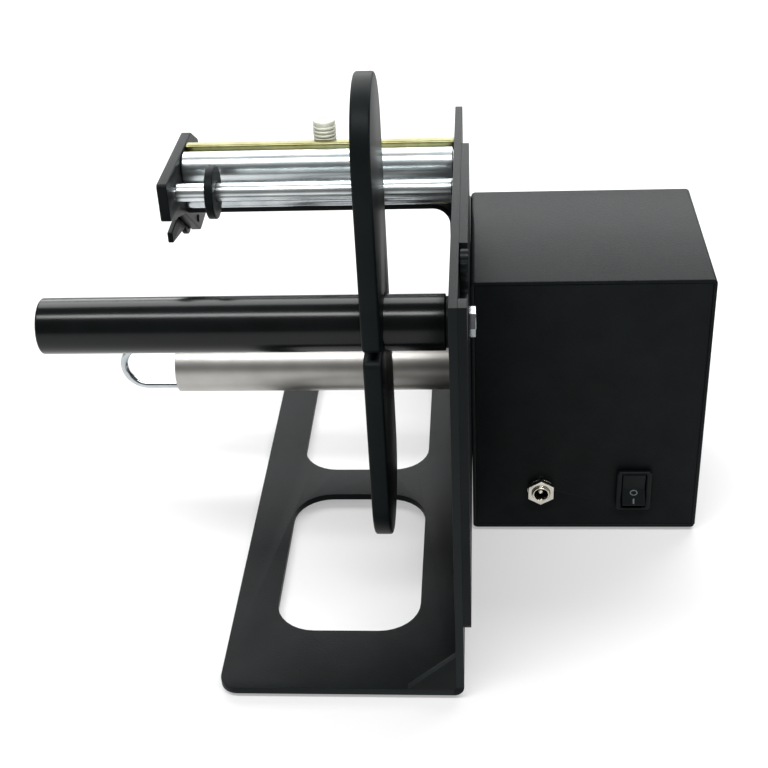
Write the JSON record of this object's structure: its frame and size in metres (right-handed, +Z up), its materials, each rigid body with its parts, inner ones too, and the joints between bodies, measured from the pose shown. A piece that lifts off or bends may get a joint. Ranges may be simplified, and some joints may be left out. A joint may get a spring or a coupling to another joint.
{
  "type": "label dispenser machine",
  "caption": "Desk machine that winds a label web from a supply tube over a peel head to a motor-driven take-up spindle, so that labels come free.",
  "frame": {"origin": "centre of the footprint's box, on the surface that the feet stand on", "axes": "+X along the spindles towards the motor box, +Y from the front to the back, +Z up"},
  "size_m": [0.2602, 0.266, 0.2241],
  "materials": {
    "black_coat": "satin powder coat",
    "gloss_black": "polished",
    "satin_black": "satin moulded",
    "brushed_steel": "brushed",
    "chrome": "polished",
    "bright_zinc": "bright zinc plate",
    "yellow_zinc": "yellow zinc plate",
    "rubber": "moulded",
    "nickel": "nickel plate",
    "brass": "turned",
    "board_green": "solder mask",
    "sensor_metal": "bead blasted"
  },
  "bodies": {
    "machine_frame": {"base_plate": "black_coat", "main_plate": "black_coat", "housing_shell": "black_coat", "housing_floor": "black_coat", "control_board": "board_green", "dc_jack_body": "nickel", "dc_jack_washer": "nickel", "dc_jack_nut": "nickel", "switch_bezel": "satin_black", "gearbox_case": "nickel", "gearbox_lid": "nickel", "motor_can": "bright_zinc", "spindle_bush": "brass", "supply_tube": "gloss_black", "supply_axle": "brushed_steel", "supply_plug_left": "satin_black", "supply_plug_right": "satin_black", "supply_washer": "bright_zinc", "supply_bolt": "bright_zinc", "peel_end_plate": "black_coat", "peel_bar": "yellow_zinc", "stay_rod": "bright_zinc", "stay_screw": "bright_zinc", "stay_plate": "black_coat", "base_foot_1": "rubber", "housing_foot_1": "rubber", "housing_screw_1": "bright_zinc", "base_foot_2": "rubber", "housing_foot_2": "rubber", "housing_screw_2": "bright_zinc", "base_foot_3": "rubber", "housing_foot_3": "rubber", "housing_screw_3": "bright_zinc", "base_foot_4": "rubber", "housing_foot_4": "rubber", "housing_screw_4": "bright_zinc"},
    "take_up_spindle": {"take_up_tube": "brushed_steel", "take_up_hub": "brushed_steel", "take_up_plug": "satin_black", "output_shaft": "brushed_steel", "output_gear": "brass"},
    "clip": {"take_up_clip": "bright_zinc"},
    "motor_rotor": {"motor_pinion": "brass"},
    "baffle": {"supply_baffle": "satin_black"},
    "roller": {"peel_roller": "chrome"},
    "idler": {"idler_rod": "chrome"},
    "collar": {"guide_collar": "satin_black"},
    "lever": {"release_lever": "satin_black"},
    "sensor": {"sensor_barrel": "sensor_metal", "sensor_nut_top": "bright_zinc", "sensor_nut_low": "bright_zinc"},
    "rocker": {"switch_rocker": "satin_black"},
    "knob": {"tension_knob": "satin_black"}
  },
  "joints": [
    {"name": "take_up_spin", "type": "hinge", "parent": "machine_frame", "child": "take_up_spindle", "pos_m": [0.0299, 0.009, 0.064], "axis": [1, 0, 0], "continuous": true},
    {"name": "clip_pull", "type": "slide", "parent": "take_up_spindle", "child": "clip", "axis": [-1, 0, 0], "range_m": [0, 0.095]},
    {"name": "motor_spin", "type": "hinge", "parent": "machine_frame", "child": "motor_rotor", "pos_m": [0.0299, 0.009, 0.084], "axis": [1, 0, 0], "continuous": true},
    {"name": "baffle_slide", "type": "slide", "parent": "machine_frame", "child": "baffle", "axis": [1, 0, 0], "range_m": [-0.12, 0.022]},
    {"name": "roller_spin", "type": "hinge", "parent": "machine_frame", "child": "roller", "pos_m": [0.0299, -0.0016, 0.1642], "axis": [1, 0, 0], "continuous": true},
    {"name": "idler_spin", "type": "hinge", "parent": "machine_frame", "child": "idler", "pos_m": [0.0299, -0.0237, 0.1631], "axis": [1, 0, 0], "continuous": true},
    {"name": "collar_slide", "type": "slide", "parent": "idler", "child": "collar", "axis": [1, 0, 0], "range_m": [-0.01, 0.09]},
    {"name": "lever_turn", "type": "hinge", "parent": "machine_frame", "child": "lever", "pos_m": [0.0299, 0.0128, 0.1348], "axis": [1, 0, 0], "range_deg": [0, 70]},
    {"name": "sensor_shift", "type": "slide", "parent": "machine_frame", "child": "sensor", "axis": [1, 0, 0], "range_m": [-0.025, 0.025]},
    {"name": "switch_rock", "type": "hinge", "parent": "machine_frame", "child": "rocker", "pos_m": [0.1024, -0.0265, 0.0232], "axis": [1, 0, 0], "range_deg": [0, 20]},
    {"name": "knob_turn", "type": "hinge", "parent": "machine_frame", "child": "knob", "pos_m": [0.0299, -0.0936, 0.1658], "axis": [1, 0, 0], "continuous": true}
  ],
  "couplings": [
    {"joint": "motor_spin", "follows": "take_up_spin", "ratio": -3}
  ]
}
